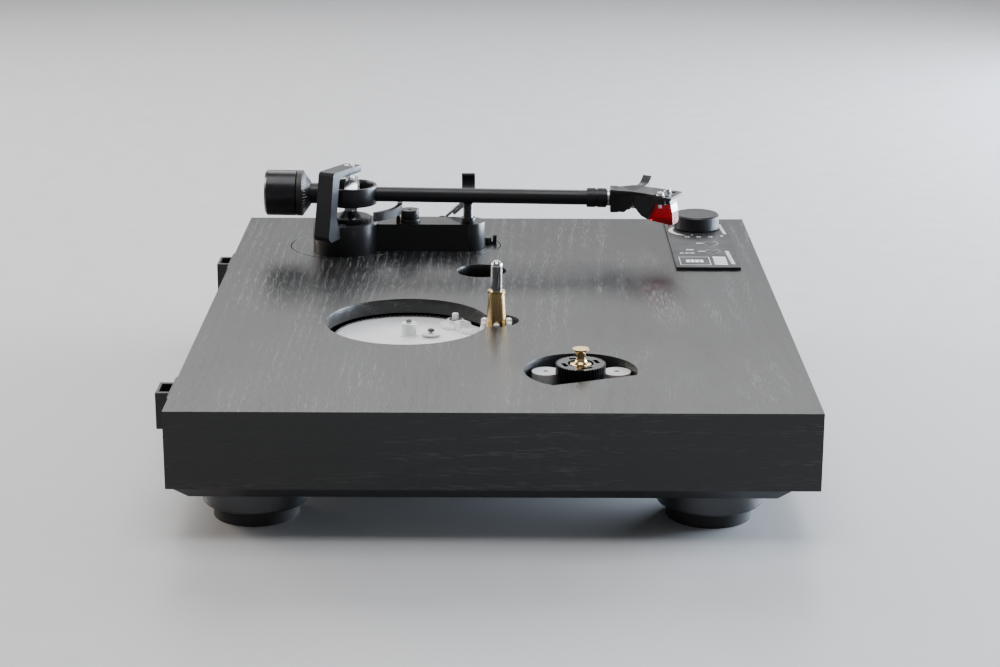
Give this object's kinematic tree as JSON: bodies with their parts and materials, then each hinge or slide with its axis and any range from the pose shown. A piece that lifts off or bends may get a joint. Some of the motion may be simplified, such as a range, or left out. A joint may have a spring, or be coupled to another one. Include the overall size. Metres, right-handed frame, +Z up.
{
  "type": "turntable record player",
  "caption": "Black wood-veneered turntable with its platter lifted off: spindle and cam wheel, motor pulley, gimballed tonearm with counterweight, arm lift, speed knob and buttons.",
  "frame": {"origin": "on the surface the feet stand on, under the middle of the outline, which runs from the plinth's front to the rear faces of the hinge sockets", "axes": "+X is the turntable's right, where the tonearm is; -Y is its front, with the control plate; +Y is its back, with the hinge sockets and connectors; +Z is up"},
  "size_m": [0.435, 0.363, 0.1337],
  "materials": {
    "black_veneer": "black stained open-pore veneer, satin",
    "black_metal": "black anodised, satin",
    "weight_metal": "black lacquered, satin",
    "black_plastic": "moulded, fine matt texture",
    "black_steel": "black powder coat",
    "white_plastic": "moulded, smooth",
    "grommet_rubber": "soft translucent white",
    "brass": "turned, bright",
    "polished_steel": "polished",
    "plain_steel": "zinc plated",
    "foot_metal": "satin, turned",
    "foot_rubber": "matt",
    "circuit_board": "solder resist",
    "stylus_red": "translucent, polished"
  },
  "bodies": {
    "chassis": {"plinth": "black_veneer", "arm_board": "black_veneer", "control_plate": "black_metal", "arm_base": "black_metal", "arm_bridge": "black_metal", "pivot_cone": "black_metal", "armrest_post": "black_metal", "lift_cylinder": "black_metal", "base_cover": "black_plastic", "hinge_socket_left": "black_plastic", "hinge_socket_right": "black_plastic", "connector_panel": "black_plastic", "power_inlet": "black_plastic", "motor_mount_ring": "black_plastic", "mechanism_plate": "black_steel", "motor_bracket": "black_steel", "motor_grommets": "grommet_rubber", "arm_screws": "polished_steel", "phono_sockets": "polished_steel", "ground_terminal": "polished_steel", "base_screws": "plain_steel", "hinge_screws": "plain_steel", "motor_body": "plain_steel", "bearing_housing": "plain_steel", "cam_axle": "plain_steel", "speed_switch": "plain_steel", "foot_front_left": "foot_metal", "foot_front_right": "foot_metal", "foot_rear_left": "foot_metal", "foot_rear_right": "foot_metal", "foot_pads": "foot_rubber", "circuit_board": "circuit_board"},
    "spindle": {"spindle_shaft": "polished_steel", "spindle_cone": "brass", "drive_pinion": "white_plastic"},
    "cam_wheel": {"cam_wheel": "white_plastic"},
    "trip_pawl": {"trip_pawl": "white_plastic"},
    "motor_rotor": {"motor_pulley": "brass"},
    "speed_knob": {"speed_knob": "black_metal"},
    "start_button": {"start_button": "black_metal"},
    "stop_button": {"stop_button": "black_metal"},
    "power_switch": {"power_switch": "white_plastic"},
    "antiskate_dial": {"antiskate_dial": "black_metal"},
    "gimbal": {"gimbal_yoke": "polished_steel", "gimbal_pivots": "polished_steel"},
    "arm": {"gimbal_ring": "black_metal", "rear_stub": "black_metal", "arm_tube": "black_metal", "locking_collar": "black_metal", "headshell": "black_metal", "finger_lift": "black_metal", "headshell_screws": "polished_steel", "cartridge_body": "black_plastic", "stylus_unit": "stylus_red"},
    "force_dial": {"force_dial": "black_plastic"},
    "counterweight": {"counterweight": "weight_metal"},
    "arm_clip": {"arm_clip": "black_plastic"},
    "lift_rest": {"lift_rest": "black_metal"},
    "cue_lever": {"cue_lever": "polished_steel"},
    "size_selector": {"size_selector": "black_plastic"}
  },
  "joints": [
    {"name": "spindle_turn", "type": "hinge", "parent": "chassis", "child": "spindle", "pos_m": [-0.043, -0.006, 0.075], "axis": [0, 0, -1], "continuous": true},
    {"name": "cam_wheel_turn", "type": "hinge", "parent": "chassis", "child": "cam_wheel", "pos_m": [-0.0353, 0.04745, 0.061], "axis": [0, 0, -1], "continuous": true},
    {"name": "trip_pawl_swing", "type": "hinge", "parent": "cam_wheel", "child": "trip_pawl", "pos_m": [-0.0155, 0.0196, 0.065], "axis": [0, 0, 1], "range_deg": [-6, 6]},
    {"name": "motor_turn", "type": "hinge", "parent": "chassis", "child": "motor_rotor", "pos_m": [-0.14, -0.054, 0.075], "axis": [0, 0, -1], "continuous": true},
    {"name": "speed_knob_turn", "type": "hinge", "parent": "chassis", "child": "speed_knob", "pos_m": [0.184, -0.1459, 0.077], "axis": [0, 0, -1], "range_deg": [0, 90]},
    {"name": "start_button_press", "type": "slide", "parent": "chassis", "child": "start_button", "axis": [0, 0, -1], "range_m": [0, 0.0012], "stiffness_N_per_m": 250, "springref_m": -0.001},
    {"name": "stop_button_press", "type": "slide", "parent": "chassis", "child": "stop_button", "axis": [0, 0, -1], "range_m": [0, 0.0012], "stiffness_N_per_m": 250, "springref_m": -0.001},
    {"name": "power_switch_slide", "type": "slide", "parent": "chassis", "child": "power_switch", "axis": [1, 0, 0], "range_m": [0, 0.003]},
    {"name": "antiskate_turn", "type": "hinge", "parent": "chassis", "child": "antiskate_dial", "pos_m": [0.1276, 0.0938, 0.097], "axis": [0, 0, 1], "range_deg": [0, 270]},
    {"name": "arm_swing", "type": "hinge", "parent": "chassis", "child": "gimbal", "pos_m": [0.1276, 0.0938, 0.1138], "axis": [0, 0, -1], "range_deg": [0, 43]},
    {"name": "arm_tilt", "type": "hinge", "parent": "gimbal", "child": "arm", "pos_m": [0.1276, 0.0938, 0.1138], "axis": [-1, 0, 0], "range_deg": [0, 6]},
    {"name": "lift_rise", "type": "slide", "parent": "chassis", "child": "lift_rest", "axis": [0, 0, 1], "range_m": [0, 0.0038]},
    {"name": "cue_lever_turn", "type": "hinge", "parent": "chassis", "child": "cue_lever", "pos_m": [0.1486, 0.032, 0.0912], "axis": [-1, 0, 0], "range_deg": [0, 45]},
    {"name": "weight_travel", "type": "slide", "parent": "arm", "child": "force_dial", "axis": [0, 0.9999, 0.0127], "range_m": [-0.003, 0.008]},
    {"name": "weight_turn", "type": "hinge", "parent": "force_dial", "child": "counterweight", "pos_m": [0.1276, 0.1388, 0.11437], "axis": [0, -0.9999, -0.0127], "range_deg": [-540, 1440]},
    {"name": "arm_clip_close", "type": "hinge", "parent": "chassis", "child": "arm_clip", "pos_m": [0.1354, 0.014, 0.111], "axis": [0, -1, 0], "range_deg": [0, 90]},
    {"name": "size_selector_turn", "type": "hinge", "parent": "chassis", "child": "size_selector", "pos_m": [0.1425, 0.0006, 0.077], "axis": [0, 0, 1], "range_deg": [-25, 25]}
  ],
  "couplings": [
    {"joint": "cam_wheel_turn", "follows": "spindle_turn", "ratio": -0.18812},
    {"joint": "lift_rise", "follows": "arm_tilt", "m_per_rad": 0.034},
    {"joint": "cue_lever_turn", "follows": "arm_tilt", "ratio": 7.3},
    {"joint": "weight_travel", "follows": "weight_turn", "m_per_rad": 0.00031831}
  ]
}
